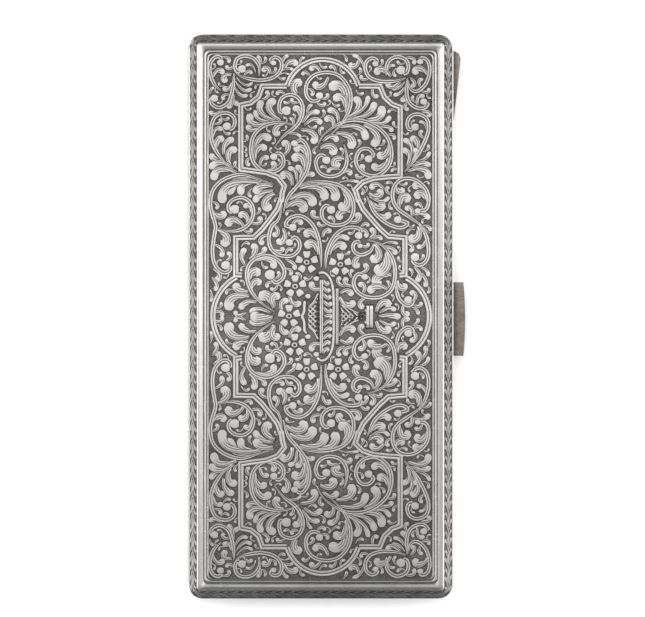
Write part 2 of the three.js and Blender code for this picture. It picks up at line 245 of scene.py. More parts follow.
ground_silver, tree = new_material("hatched_ground")
coords, finish = worn_finish(tree, (0.2, 0.193, 0.185, 1), (0.09, 0.086, 0.082, 1), 0.8, 0.45)


def cut_lines(tree, vector, pitch, turn, sharp=0.25):
    """Straight parallel cuts, as a mask that is 1 in the cut."""
    waves = node(tree, "ShaderNodeTexWave", wave_type="BANDS", bands_direction="X")
    feed(tree, waves.inputs["Vector"], stretched(tree, vector, (1, 1, 1), turn))
    waves.inputs["Scale"].default_value = 0.314 / pitch
    waves.inputs["Distortion"].default_value = 0.9
    waves.inputs["Detail Scale"].default_value = 0.5
    return ramp(tree, waves.outputs["Fac"], sharp, sharp + 0.35, 1.0, 0.0)


def painted_end_shade(tree, coords, colour):
    """Paints shade on the engraving: brightest in the middle of the case, darker towards its ends."""
    where = node(tree, "ShaderNodeSeparateXYZ")
    feed(tree, where.inputs[0], coords)
    share = ramp(tree, maths(tree, "ABSOLUTE", where.outputs["Y"]), 0.012, 0.05, 1.0, 0.82)
    return blend_colour(tree, share, (0, 0, 0, 1), colour)


hatching = maths(tree, "MAXIMUM", cut_lines(tree, coords, 0.00045, 1.57), cut_lines(tree, coords, 0.0006, 0.9))
pooled = maths(tree, "ADD", maths(tree, "MULTIPLY", ramp(tree, noise(tree, coords, 260, 2), 0.35, 0.65), 0.45), 0.15)
shade = blend_colour(tree, maths(tree, "MULTIPLY", hatching, pooled), finish["Color"], OXIDE)
# the hatched ground gets painted shade towards the ends of the case
metal("hatched_ground", painted_end_shade(tree, coords, shade), maths(tree, "SUBTRACT", finish["Height"], hatching), 0.55, tree, 0.00006, 0.8)

cut_silver, tree = new_material("cut_ornament")
coords, finish = worn_finish(tree, CUT_SILVER, GREY_SILVER, 0.5, 0.36)


def attribute(tree, name):
    return node(tree, "ShaderNodeAttribute", attribute_name=name).outputs["Fac"]


polish = ramp(tree, attribute(tree, "polish"), 0.45, 0.9)
inset = attribute(tree, "inset")
reach = attribute(tree, "reach")
# shading cuts follow the outer edge of each leaf and die out before its round head
wave = maths(tree, "COSINE", maths(tree, "MULTIPLY", maths(tree, "SUBTRACT", inset, 0.42), math.tau / 0.56))
lines = maths(tree, "MULTIPLY", ramp(tree, wave, 0.15, 0.8), ramp(tree, inset, 0.24, 0.36))
lines = maths(tree, "MULTIPLY", lines, ramp(tree, reach, 0.66, 0.8, 1.0, 0.0))
cuts = maths(tree, "MULTIPLY", maths(tree, "MULTIPLY", lines, attribute(tree, "veined")), 0.85)
shine = maths(tree, "MULTIPLY", polish, maths(tree, "SUBTRACT", 1.0, cuts))
cut_height = maths(tree, "ADD", finish["Height"], maths(tree, "MULTIPLY", shine, 1.5))
shade = blend_colour(tree, shine, OXIDE, finish["Color"])
# the cut ornament gets painted shade towards the ends of the case
metal("cut_ornament", painted_end_shade(tree, coords, shade), cut_height, finish["Roughness"], tree, 0.00003, 0.6)

# ---- Cutting tools for the ornament ----
# Every leaf, stem and strap is one raised strip: pointed where it leaves its stem, cut down
# to the ground all round, and closed underneath. Lengths are in millimetres.
CUT_WIDTH = 0.22
WALL_WIDTH = 0.035
GROUND_DEPTH = 0.26
SUNK = 0.04


def new_relief():
    bm = bmesh.new()
    for name in ("polish", "inset", "reach", "veined"):
        bm.verts.layers.float.new(name)
    return bm


def strip(bm, spine, left, right, top, grooved=False, bend=0, dark=False):
    """Raises a strip over a spine of points, with its half widths at each of them."""
    count = len(spine)
    rows = 8 if grooved else 6
    made = bmesh.ops.create_grid(bm, x_segments=count - 1, y_segments=rows, size=1)["verts"]
    layer = {name: bm.verts.layers.float[name] for name in ("polish", "inset", "reach", "veined")}
    ahead = spine[1:] - spine[:-1]
    lengths = np.linalg.norm(ahead, axis=1)
    ahead /= lengths[:, None]
    before = np.vstack([ahead[:1], ahead])
    after = np.vstack([ahead, ahead[-1:]])
    mitre = before + after
    mitre /= np.maximum(0.6, (1 + (before * after).sum(axis=1)))[:, None]
    side = np.column_stack([-mitre[:, 1], mitre[:, 0]])
    travel = np.concatenate([[0], np.cumsum(lengths)])
    middle = rows // 2
    for vert in made:
        step = round((vert.co.x + 1) / 2 * (count - 1))
        row = round((vert.co.y + 1) / 2 * rows) - middle
        half = left[step] if row > 0 else right[step]
        rank = middle - abs(row)
        from_edge = [0, min(WALL_WIDTH, 0.15 * half), min(CUT_WIDTH, 0.5 * half)]
        if grooved:
            from_edge = [0, min(0.03, 0.15 * half), min(0.12, 0.4 * half), max(0.7 * half, half - 0.15)]
        from_edge.append(half)
        out = half - from_edge[rank]
        height = [-GROUND_DEPTH - SUNK, -0.012, -0.004, 0.0, 0.0][rank]
        shine = [0.0, 0.0, 1.0, 1.0, 1.0][rank]
        if grooved and rank == middle:
            height, shine = -0.03, 0.0
        if step in (1, count - 2) and not grooved:
            shine *= 0.0 if step > 1 else 1.0
        if step in (0, count - 1):
            height, shine = -GROUND_DEPTH - SUNK, 0.0
        if dark:
            shine = 0.0
        x, y = spine[step] + side[step] * out * (1 if row > 0 else -1)
        vert.co = (x, y, top + height if height > -GROUND_DEPTH else height)
        vert[layer["polish"]] = shine
        convex = left[step] if bend > 0 else right[step]
        vert[layer["inset"]] = convex - out if row * bend > 0 else convex + out
        vert[layer["reach"]] = travel[step] / travel[-1]
        vert[layer["veined"]] = 1.0 if bend else 0.0
    rim = [edge for edge in {e for v in made for e in v.link_edges} if edge.is_boundary]
    underside = bmesh.ops.contextual_create(bm, geom=rim)["faces"][0]
    underside.normal_update()
    if underside.normal.z > 0:
        underside.normal_flip()


def curve_between(start, end, turn, samples):
    """A cubic curve that leaves its chord to one side and comes back steeply at the end."""
    start, end = np.array(start, float), np.array(end, float)
    chord = end - start

    def turned(angle):
        c, s = math.cos(angle), math.sin(angle)
        return np.array([chord[0] * c - chord[1] * s, chord[0] * s + chord[1] * c])

    first = start + 0.42 * turned(turn * 0.45)
    last = end - 0.42 * turned(-turn * 1.25)
    t = np.array(samples)[:, None]
    return (1 - t) ** 3 * start + 3 * (1 - t) ** 2 * t * first + 3 * (1 - t) * t ** 2 * last + t ** 3 * end


taken = []  # discs (x, y, radius) that the ornament already covers
LEAF_STEPS = (0, 0.14, 0.3, 0.46, 0.6, 0.73, 0.85, 0.94, 1)
CAP_STEPS = (0.45, 0.78, 0.97, 1.02)


def leaf(bm, tail_x, tail_y, head_x, head_y, radius, turn, top=-0.1):
    """A comma-shaped leaf: its tail lies on the stem and its round head curls over."""
    spine = curve_between((tail_x, tail_y), (head_x, head_y), turn, LEAF_STEPS)
    onward = spine[-1] - spine[-2]
    onward /= np.linalg.norm(onward)
    cap = [spine[-1] + onward * radius * step for step in CAP_STEPS]
    steps = np.array(LEAF_STEPS)
    outer = radius * (0.16 + 0.94 * np.sin(steps * math.pi / 2) ** 0.55)
    inner = radius * (0.16 + 0.72 * steps + 0.16 * steps ** 6)
    caps = radius * np.sqrt(np.maximum(0.0009, 1 - np.array(CAP_STEPS) ** 2))
    outer, inner = np.concatenate([outer, caps]), np.concatenate([inner, caps])
    spine = np.vstack([spine, cap])
    left, right = (outer, inner) if turn > 0 else (inner, outer)
    strip(bm, spine, left, right, top, bend=1 if turn > 0 else -1)
    taken.extend((x, y, r) for (x, y), r in zip(spine[:10], outer[:10]))


def smooth_through(points, spacing=0.55):
    """A smooth line through points, sampled evenly."""
    p = np.array(points, float)
    p = np.vstack([2 * p[0] - p[1], p, 2 * p[-1] - p[-2]])
    fine = []
    for a, b, c, d in zip(p, p[1:], p[2:], p[3:]):
        for t in np.linspace(0, 1, 12, endpoint=False):
            fine.append(0.5 * (2 * b + (c - a) * t + (2 * a - 5 * b + 4 * c - d) * t * t
                               + (3 * b - a - 3 * c + d) * t ** 3))
    fine = np.array(fine + [p[-2]])
    travel = np.concatenate([[0], np.cumsum(np.linalg.norm(np.diff(fine, axis=0), axis=1))])
    even = np.linspace(0, travel[-1], max(4, round(travel[-1] / spacing)))
    return np.column_stack([np.interp(even, travel, fine[:, k]) for k in (0, 1)])


def stem(bm, points, ball=1.0, half=0.52, top=-0.05):
    """A double-lined stem that coils up and ends in a ball."""
    spine = smooth_through(points)
    share = np.linspace(0, 1, len(spine))
    width = half * np.minimum(1, 0.25 + share * 3)
    strip(bm, spine, width, width, top, grooved=True)
    taken.extend((x, y, r + 0.1) for (x, y), r in zip(spine, width))
    bud(bm, *points[-1], ball, top + 0.02)


def bud(bm, x, y, radius, top, dark=False):
    """The round ball at the end of a stem, or a dark round hollow."""
    angle = np.linspace(math.pi, 0, 9)
    spine = np.column_stack([x + radius * np.cos(angle), np.full(9, float(y))])
    width = radius * np.sqrt(np.maximum(0.002, 1 - np.cos(angle) ** 2))
    strip(bm, spine, width, width, top, dark=dark)
    taken.append((x, y, radius))


# ---- Lid: scrolls ----
# The stems are drawn first, then the leaves that spring from them. The upper half is drawn
# and the lower half is its mirror image across the middle of the case.

STEMS = [
    # points along the stem, radius of its ball
    ([(-22.8, 52.2), (-24.6, 53.9), (-25.6, 56.3), (-25.6, 58.8), (-24.5, 60.2), (-23.2, 60.2), (-23.2, 59.0)], 0.9),
    ([(-14.3, 55.4), (-14.3, 58.2), (-15.5, 59.9), (-17.5, 60.5), (-19.3, 59.9), (-19.9, 58.2), (-19.3, 56.8),
      (-18.2, 57.5)], 1.05),
    ([(-20.1, 57.2), (-18.5, 55.8), (-16, 55.1), (-13.5, 54.9), (-11, 55.5), (-9.5, 56.8), (-9.0, 58.5),
      (-9.6, 59.9), (-10.8, 60.2), (-11.6, 59.5), (-10.9, 58.9)], 0.75),
    ([(-20.1, 57.0), (-20.2, 54.2), (-20.7, 51.5), (-21.6, 49.5), (-23.5, 48.5), (-25.2, 49.3), (-25.4, 50.6),
      (-24.6, 50.7)], 1.0),
    ([(-20.5, 34.2), (-23.3, 37.0), (-25.2, 40.5), (-25.4, 44), (-24.3, 46.5), (-22, 47.3), (-20.3, 46.5),
      (-19.9, 45), (-20.6, 43.6), (-21.7, 44.2)], 1.05),
    ([(-4.5, 43.3), (1.8, 41.6), (5.2, 45.2), (6.9, 49.0), (6.7, 52.8), (4.5, 55.8), (1.5, 56.7), (-1.5, 56.0),
      (-3.2, 54), (-3.3, 51.5), (-2.1, 50.1), (-0.6, 50.2), (-0.2, 51.3)][1:], 0.95),
    ([(-10.8, 39.2), (-8.5, 42.0), (-6.0, 43.9), (-4.5, 46), (-4.1, 48.5), (-5.0, 50.6), (-6.8, 51.5), (-8.8, 50.9),
      (-9.6, 49.2), (-9.3, 47.4), (-7.9, 47.8)], 1.2),
    ([(-4.5, 43.4), (-7, 44.7), (-10.5, 45.0), (-13.5, 44.1), (-15.6, 41.8), (-16.2, 38.5), (-15.4, 35.6),
      (-13.2, 33.8), (-10.6, 33.7), (-8.8, 35), (-8.7, 37), (-9.8, 38.0), (-10.8, 37.1)], 0.95),
    ([(-1.0, 39.2), (0.6, 42.0), (3, 44.0), (6, 45.4), (9.5, 45.5), (13, 44.1), (15.6, 41.5), (16.5, 38),
      (15.8, 34.9), (13.5, 32.9), (11, 32.8), (8.9, 34.2), (8.2, 36.6), (9.3, 38.7), (11.2, 38.9), (12.3, 37.6),
      (11.2, 36.6)], 1.0),
    ([(5.3, 40.4), (6.1, 37.5), (5.9, 35), (4.5, 33.1), (2, 32.5), (-0.2, 33.4), (-1.1, 35.5), (-0.5, 37.2),
      (0.7, 37.4), (1.4, 36.3)], 1.05),
    ([(20.2, 55.6), (17.5, 54.7), (14, 54.6), (11.5, 55.5), (10.4, 57.3), (10.7, 59.2), (12, 60.0), (13.2, 59.4),
      (12.8, 58.7)], 0.8),
    ([(15.3, 55.4), (15.3, 58.2), (16.5, 59.9), (18.3, 60.3), (20, 59.4), (20.4, 57.8), (19.8, 56.4), (18.7, 57.2)],
     1.15),
    ([(20.2, 55.4), (20.9, 52.9), (22.4, 52.3), (24.2, 53.7), (25.2, 56), (25.3, 58.3), (24.5, 59.8), (23.3, 60.0),
      (23.2, 59.2)], 0.8),
    ([(20.2, 55.8), (20.0, 52), (20.6, 49.8), (22.2, 48.5), (24, 48.4), (24.9, 49.4), (24.0, 49.9)], 0.9),
    ([(19.2, 33.2), (22, 36.6), (24, 40.2), (25.1, 43.5), (24.6, 46), (22.5, 47.0), (20.7, 46.3), (20.1, 44.6),
      (20.8, 43.3), (22.0, 44.0)], 1.0),
    ([(-24.2, 20.6), (-22, 19.9), (-19, 20.0), (-16.7, 21.4), (-15.6, 23.8), (-16.1, 26.2), (-18, 27.6),
      (-20.2, 27.2), (-21.4, 25.8), (-21.0, 24.3), (-19.9, 24.9)], 1.2),
    ([(-10.4, 30.6), (-14.5, 31.9), (-18.5, 33.0), (-22.5, 31.8), (-24.9, 29.5), (-25.6, 26.5), (-25.2, 23.8),
      (-24.4, 21), (-24.8, 18), (-25.1, 15), (-24.6, 12.2), (-23, 10.4), (-21.5, 10.3), (-20.9, 11.4),
      (-22.0, 11.9)], 1.15),
    ([(-8.8, 23.5), (-7.6, 27.6), (-5.5, 30.2), (-3.5, 33), (-2.6, 36), (-2.9, 39), (-4.4, 41.0), (-6.0, 40.2)], 0.9),
    ([(0.2, 10.9), (0.0, 15), (-0.7, 19), (-2.4, 22), (-4.8, 23.4), (-7.2, 22.8), (-8.1, 21.2), (-6.4, 20.7)], 1.0),
    ([(-8.8, 26.5), (-9.7, 22.7), (-11.3, 21), (-12.0, 18.4), (-11.7, 16.2), (-10.3, 14.6), (-8.4, 14.0),
      (-6.4, 14.2), (-5.0, 15.6), (-4.9, 17.3), (-6.0, 18.4), (-7.2, 17.2)], 0.95),
    ([(-6.6, 29.4), (-3, 31.1), (1, 31.2), (4.5, 30.4), (6.9, 28.4), (7.7, 25.5), (7.1, 22.9), (5.2, 21.4),
      (2.5, 21.3), (0.6, 22.6), (0.3, 24.6), (1.4, 25.8), (2.5, 24.8)], 1.1),
    ([(25.8, 18.8), (23.3, 21.2), (20.5, 23.2), (18, 25), (16.8, 27.2), (17.0, 29.9), (18.7, 31.8), (21.5, 31.9),
      (24, 30.2), (25.1, 27.7), (24.6, 25.0), (22.6, 24.5)], 0.8),
    ([(10.6, 28.4), (12.5, 24.2), (15.5, 21.6), (18.5, 20.6), (20.3, 21.6), (18.0, 22.5)], 1.0),
    ([(-10.3, 0.9), (-13, 2.6), (-15.5, 5), (-16.9, 8), (-17.0, 11), (-15.4, 13.2), (-12.5, 14.1), (-9.9, 13.1),
      (-8.4, 10.8), (-8.9, 8.7), (-10.6, 7.9), (-11.7, 9.7)], 1.3),
    ([(1.2, 10.6), (1.3, 14), (2.3, 17.2), (4.2, 19.6), (6.8, 20.7), (9.3, 20.2), (8.9, 18.8)], 1.0),
    ([(12.5, 17.4), (11.7, 15.3), (9.5, 14.3), (7.8, 15.1), (7.6, 16.7), (8.7, 17.4), (9.2, 16.4)], 0.7),
    ([(10.4, 17.9), (12.5, 17.4), (15, 16), (16.9, 13), (17.3, 9.5), (16.4, 6.2), (13.8, 4.5), (10.5, 4.6),
      (8.3, 6.1), (7.7, 8.3), (8.8, 9.9), (10.3, 9.2)], 0.85),
    ([(22.5, 22.0), (24.5, 18.8), (25.1, 15), (24.4, 12.7), (22.8, 11.9), (21.5, 12.8), (22.0, 13.8)], 1.1),
    ([(17.4, 7.6), (18.2, 4.2), (20.2, 2.5), (21.5, 3.3), (20.4, 3.9)], 1.0),
]

LEAVES = [
    # tail x, tail y, head x, head y, radius of the head, turn (plus swings out to the left)
    (-25.2, 55.0, -22.9, 56.9, 0.8, 1.0), (-20.3, 56.2, -22.3, 55.0, 0.9, -1.1),
    (-15.0, 56.2, -17.0, 58.4, 0.5, -1.0), (-11.6, 55.9, -13.0, 57.4, 0.85, -1.1),
    (-14.3, 57.8, -14.4, 60.2, 0.6, -0.5), (-8.8, 57.0, -5.9, 58.9, 0.9, 0.8),
    (-9.6, 56.4, -6.5, 57.3, 0.5, 0.7), (-10.6, 55.6, -7.3, 56.2, 0.35, 0.5),
    (-8.9, 58.2, -7.9, 60.4, 0.6, 0.4), (-19.8, 56.0, -16.1, 54.1, 0.5, -0.9),
    (-20.0, 55.2, -16.4, 52.7, 0.6, -0.8), (-20.1, 54.0, -17.4, 51.3, 0.6, -0.7),
    (-20.2, 53.2, -19.4, 49.4, 0.7, -0.5), (-20.6, 51.6, -21.2, 48.8, 0.7, 0.4),
    (-25.6, 51.4, -25.1, 53.0, 0.5, 0.4), (-20.4, 54.8, -22.1, 52.9, 0.8, 0.6),
    (-22.4, 48.2, -25.4, 47.3, 0.7, 0.5), (-25.2, 40.5, -23.2, 43.6, 0.7, 0.9),
    (-24.2, 38.0, -23.2, 41.2, 1.0, 0.5), (-22.6, 37.0, -20.8, 41.0, 0.9, 0.5),
    (-20.6, 34.4, -20.2, 38.7, 1.0, 0.9), (2.0, 56.2, -1.1, 53.8, 0.95, 1.1),
    (6.3, 48.2, 3.0, 53.5, 1.3, -1.0), (5.8, 46.6, 3.8, 50.8, 1.1, -1.1),
    (4.2, 44.5, 2.3, 47.9, 0.85, -0.7), (2.9, 43.2, 1.6, 45.9, 0.9, -1.1),
    (-3.2, 46.4, -2.3, 49.0, 0.55, 0.3), (-4.4, 44.4, -0.8, 47.5, 0.75, 0.5),
    (-4.2, 44.0, -0.2, 45.2, 0.8, 0.8), (-5.2, 43.4, -1.5, 40.9, 1.0, 1.0),
    (-8.6, 45.2, -11.2, 49.9, 1.05, 1.1), (-9.6, 45.2, -13.9, 49.5, 0.9, 0.9),
    (-10.6, 45.2, -15.1, 47.4, 0.7, 0.7), (-11.6, 45.1, -16.4, 46.3, 1.0, 1.0),
    (-14.0, 43.8, -16.7, 43.9, 0.8, 0.5), (-5.6, 44.4, -5.7, 48.3, 0.9, -0.9),
    (-6.6, 43.8, -6.8, 45.9, 0.55, -0.6), (-15.6, 37.2, -12.2, 41.5, 1.0, 1.1),
    (-15.2, 35.7, -13.2, 39.2, 0.95, 1.0), (-14.2, 34.6, -12.6, 36.9, 0.75, 0.6),
    (-13.3, 33.9, -10.9, 35.4, 0.85, -1.1), (-8.6, 42.0, -4.8, 41.9, 0.5, 0.5),
    (5.4, 45.6, 8.4, 50.4, 0.95, -0.9), (6.0, 45.7, 11.0, 50.7, 0.7, -0.4),
    (6.6, 45.8, 12.4, 49.1, 0.9, -0.5), (8.0, 45.8, 14.2, 48.0, 1.1, -0.9),
    (10.4, 45.3, 15.9, 46.1, 0.7, -0.6), (13.4, 43.9, 16.4, 43.4, 0.7, 0.4),
    (3.6, 43.9, 10.4, 41.8, 1.0, 0.8), (9.4, 44.8, 12.6, 40.3, 1.1, 1.0),
    (3.0, 42.6, 7.2, 39.9, 1.15, 0.9), (16.0, 40.4, 14.0, 37.4, 1.1, 0.6),
    (16.1, 37.4, 12.6, 34.8, 1.0, 0.8), (12.2, 32.9, 9.7, 34.7, 0.85, 0.9),
    (0.2, 40.4, 3.6, 41.2, 0.85, 0.8), (-0.5, 38.9, 2.9, 38.4, 1.15, 1.0),
    (5.9, 36.6, 3.6, 35.4, 1.2, -1.1), (5.0, 33.8, 1.9, 33.8, 0.6, -0.7),
    (4.6, 32.7, 6.8, 33.4, 0.8, 0.9), (16.6, 55.3, 13.2, 56.9, 1.0, -0.9),
    (15.5, 56.4, 16.9, 58.3, 0.5, 0.9), (25.2, 55.6, 22.1, 57.0, 1.0, -1.1),
    (20.5, 55.6, 21.5, 53.7, 0.7, 0.8), (20.0, 53.6, 19.2, 50.4, 0.8, 0.4),
    (19.8, 55.0, 16.9, 53.0, 0.6, 0.5), (18.8, 54.9, 15.7, 53.8, 0.75, 0.8),
    (20.0, 54.2, 17.4, 51.5, 0.6, 0.4), (22.6, 48.4, 23.6, 51.2, 0.7, 0.9),
    (23.2, 47.4, 25.2, 46.9, 0.75, 0.6), (24.6, 42.2, 23.3, 45.2, 0.5, -0.8),
    (22.6, 38.4, 21.6, 41.2, 1.0, -0.4), (21.4, 36.6, 19.8, 40.9, 0.75, -0.5),
    (19.8, 34.2, 19.4, 38.6, 0.8, -0.9), (20.8, 35.4, 22.0, 38.6, 0.7, -0.4),
    (21.6, 35.8, 25.2, 37.8, 0.6, -0.4), (20.6, 34.6, 25.0, 35.3, 0.75, 0.3),
    (19.6, 33.5, 25.0, 32.7, 0.95, 0.9), (9.0, 60.0, 7.2, 58.3, 0.9, 0.8),
    (10.5, 56.8, 7.9, 60.6, 0.6, -0.4), (5.0, 61.0, 6.0, 59.6, 0.5, 0.3),
    (-21.8, 36.0, -25.2, 37.2, 0.85, 0.3), (-19.6, 34.0, -25.2, 34.9, 0.9, -0.7),
    (-18.8, 33.2, -24.7, 32.5, 1.05, -0.9), (-15.0, 31.4, -22.8, 27.3, 1.15, -0.9),
    (-13.6, 31.3, -21.1, 29.4, 1.3, -0.6), (-13.0, 30.9, -18.5, 29.1, 1.0, -0.9),
    (-10.6, 30.2, -14.8, 29.3, 1.1, -0.4), (-10.4, 29.4, -15.0, 27.2, 0.9, -0.3),
    (-10.2, 28.8, -12.3, 25.4, 1.2, -1.0), (-17.0, 21.2, -18.3, 23.6, 0.95, -0.9),
    (-17.4, 20.4, -21.3, 21.8, 1.1, -0.9), (-16.0, 23.4, -17.3, 25.7, 0.75, -0.9),
    (-3.0, 35.6, -5.4, 39.0, 1.0, -1.0), (-3.7, 33.4, -5.8, 36.9, 1.15, -1.1),
    (-5.0, 31.2, -5.2, 34.6, 0.8, -0.6), (-5.6, 30.6, -7.0, 34.4, 0.7, -0.7),
    (-6.6, 29.9, -8.6, 32.8, 1.05, -1.1), (-4.6, 31.4, -1.9, 33.0, 0.75, 0.4),
    (-8.5, 25.0, -4.0, 25.2, 1.25, 1.1), (-7.9, 26.9, -1.9, 26.6, 1.2, 0.9),
    (-5.6, 29.7, 0.9, 28.0, 1.15, 0.8), (-1.6, 31.0, 3.4, 27.8, 1.2, 0.8),
    (4.6, 30.2, 5.2, 25.5, 1.3, 1.1), (7.4, 24.2, 4.4, 23.3, 1.05, -0.9),
    (3.6, 30.9, 8.6, 31.3, 0.5, 0.2), (6.4, 21.9, 8.7, 23.4, 0.95, -1.0),
    (10.9, 28.9, 13.8, 28.8, 1.0, -1.1), (10.9, 28.2, 15.6, 27.4, 0.6, -0.7),
    (11.2, 27.2, 14.2, 25.6, 1.1, -0.6), (11.6, 26.2, 15.7, 23.5, 0.9, -0.9),
    (17.4, 31.0, 18.8, 29.2, 0.95, -0.9), (25.0, 28.6, 22.2, 30.4, 1.05, -0.6),
    (25.0, 26.2, 22.6, 28.2, 1.1, -1.0), (18.4, 24.9, 20.0, 27.5, 1.2, 1.2),
    (20.6, 23.4, 24.9, 23.1, 0.75, 0.5), (23.6, 21.2, 25.4, 20.3, 0.6, 0.4),
    (-24.4, 20.4, -22.2, 17.2, 1.2, 0.9), (-25.0, 17.0, -22.9, 14.4, 0.75, 0.6),
    (-25.3, 11.4, -23.9, 8.7, 0.85, 1.0), (-25.6, 9.4, -24.3, 6.5, 0.7, 0.5),
    (-25.8, 6.6, -25.4, 3.8, 0.5, 0.3), (-8.9, 21.0, -9.5, 17.4, 0.95, 1.0),
    (-0.6, 17.4, -3.0, 19.3, 1.15, -0.8), (-0.4, 13.9, -2.8, 16.7, 1.15, -1.0),
    (-11.3, 15.8, -8.9, 15.6, 0.7, -0.6), (-16.7, 7.6, -14.9, 10.3, 1.2, 0.8),
    (-16.0, 5.6, -14.5, 8.0, 1.0, 1.0), (-15.6, 12.8, -10.9, 11.9, 0.95, 0.9),
    (-17.2, 11.2, -17.8, 15.3, 0.8, 0.5), (-16.8, 12.8, -15.4, 16.2, 0.95, -0.4),
    (-15.4, 13.9, -13.0, 15.6, 0.75, -0.3), (-16.4, 5.9, -19.5, 6.9, 1.1, 0.4),
    (-15.9, 4.6, -21.2, 2.5, 1.3, -0.9), (-14.3, 3.4, -18.3, 2.3, 0.9, -0.4),
    (-11.0, 0.6, -15.9, 1.3, 0.75, -0.4), (-10.9, 1.4, -13.2, 4.8, 1.4, -0.6),
    (-10.7, 1.9, -10.3, 4.7, 1.1, 0.9), (-8.6, 13.4, -6.0, 11.4, 0.7, 0.4),
    (1.6, 14.6, 6.1, 18.2, 0.75, 0.9), (1.8, 13.8, 5.2, 16.3, 1.05, 1.0),
    (0.4, 18.0, 1.9, 19.9, 0.8, 0.6), (8.6, 20.6, 10.6, 18.9, 0.7, 0.7),
    (12.2, 17.3, 12.5, 13.4, 1.2, 1.0), (15.2, 15.6, 13.8, 10.8, 1.6, 0.6),
    (17.0, 9.4, 13.1, 8.0, 1.3, -1.0), (16.0, 6.2, 11.7, 6.2, 1.05, -0.5),
    (14.4, 16.4, 17.3, 14.9, 0.75, 0.3), (14.0, 16.7, 17.6, 17.0, 0.5, 0.3),
    (17.8, 8.8, 19.4, 6.9, 1.0, -1.0), 
    
    
    (22.6, 21.4, 21.4, 18.1, 1.2, 0.9), (24.8, 18.6, 22.9, 16.2, 0.7, 0.5),
    (21.3, 12.0, 22.6, 8.6, 0.8, 0.7), (22.0, 11.8, 25.0, 9.8, 0.6, 0.5),
    (23.2, 10.4, 24.4, 7.4, 0.7, 0.3), (21.0, 2.2, 22.6, 0.9, 0.6, 0.4),
]


def add_piece(bm, name, body, materials, matrix=None, smooth=0.6):
    """Turns a millimetre bmesh into a finished piece of the case, in metres."""
    if matrix is not None:
        bm.transform(matrix)
        if matrix.determinant() < 0:
            bmesh.ops.reverse_faces(bm, faces=bm.faces)
    bm.transform(Matrix.Scale(MM, 4))
    mesh = bpy.data.meshes.new(name)
    bm.to_mesh(mesh)
    bm.free()
    mesh.shade_smooth()
    mesh.set_sharp_from_angle(angle=smooth)
    for material in materials:
        mesh.materials.append(material)
    piece = bpy.data.objects.new(name, mesh)
    bpy.context.scene.collection.objects.link(piece)
    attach(piece, body)
    return piece


stems = new_relief()
stem_lines = []
for points, ball in STEMS:
    stem(stems, points, ball)
    stem_lines.append(smooth_through(points))

leaves = new_relief()
for number, values in enumerate(LEAVES):
    leaf(leaves, *values, top=-0.06 - 0.05 * (number * 0.618 % 1))

# ---- Lid: strapwork, vase and flowers ----
# Broad double-lined straps frame the scrolls and pass over them, a vase lies on its side in
# the middle, and small five-petalled flowers sit round it.
STRAP_HALF = 0.68


def arc(cx, cy, radius, start, end, count=14):
    """Points on an arc, from one angle to another in degrees."""
    angle = np.radians(np.linspace(start, end, count))
    return [(cx + radius * math.cos(a), cy + radius * math.sin(a)) for a in angle]


STRAPS = [
    # the upper half of each strap
    [(-9.1, 26.6), (-8.9, 28.7), (-8.4, 30.4), (-10.0, 32.4), (-12.6, 33.4), (-15.6, 33.8), (-18.5, 34.2),
     (-18.55, 49.1), (-16.2, 49.6), (-14.4, 51.0), (-13.5, 53.5), (-7.8, 53.5)],
    [(8.8, 26.6), (8.5, 28.0), (8.0, 29.4), (9.8, 31.2), (12.4, 32.1), (15.4, 32.4), (18.5, 32.6),
     (18.5, 48.6), (16.6, 49.3), (14.8, 51.0), (13.8, 53.5), (8.9, 53.5)],
    arc(0.5, 51.0, 8.7, 163, 17, 22),
    [(-9.1, 27.4), (-10.0, 24.9), (-11.7, 22.6), (-13.6, 20.2), (-15.5, 18.4), (-19.7, 18.3), (-19.7, 9.7),
     (-18.2, 9.6)],
    [(8.7, 27.4), (9.9, 24.9), (11.7, 22.8), (13.8, 20.4), (15.8, 18.6), (19.6, 18.3), (19.6, 9.7), (18.3, 9.6)],
]
straps = new_relief()
for line in STRAPS:
    spine = np.array(line, float)
    fine = [spine[0]]
    for a, b in zip(spine, spine[1:]):
        pieces = max(1, round(np.linalg.norm(b - a) / 1.2))
        fine.extend(a + (b - a) * k / pieces for k in range(1, pieces + 1))
    fine.insert(1, fine[0] + (fine[1] - fine[0]) * 0.04)
    fine.insert(-1, fine[-1] + (fine[-2] - fine[-1]) * 0.04)
    fine = np.array(fine)
    half = np.full(len(fine), STRAP_HALF)
    strip(straps, fine, half, half, 0.0, grooved=True)
    taken.extend((x, y, STRAP_HALF + 0.12) for x, y in fine)
    taken.extend((*((a + b) / 2), STRAP_HALF + 0.12) for a, b in zip(fine, fine[1:]))

# the arcs at the sides of the middle cross from the upper half to the lower one
middle = new_relief()
for line in (arc(-14.6, 0, 10.4, 115, 245, 30), arc(15.1, 0, 10.2, -65, 65, 30)):
    spine = np.array(line)
    half = np.full(len(spine), STRAP_HALF)
    strip(middle, spine, half, half, 0.0, grooved=True)
    taken.extend((x, y, STRAP_HALF + 0.12) for x, y in spine)

FLOWERS = [(-3.2, 12.6), (4.6, 12.1), (-5.9, 7.0), (-7.3, 0.1), (-6.0, -6.6), (-3.2, -12.3), (4.1, -12.3)]


def flower(bm, x, y, size=2.7):
    """Five round petals about a small raised ring."""
    for petal in range(5):
        angle = math.radians(90 + 72 * petal)
        c, s = math.cos(angle), math.sin(angle)
        spine = np.array([(x + c * d, y + s * d) for d in np.array([0.36, 0.4, 0.55, 0.75, 0.92, 1.0, 1.03]) * size])
        half = size * np.array([0.12, 0.22, 0.31, 0.36, 0.35, 0.25, 0.08])
        strip(bm, spine, half, half, -0.05)
    bud(bm, x, y, 0.74, -0.02)
    bud(bm, x, y, 0.36, -0.01, dark=True)
    taken.append((x, y, size * 0.9))


for x, y in FLOWERS:
    flower(middle, x, y)
    taken.append((x, -y, 2.6))


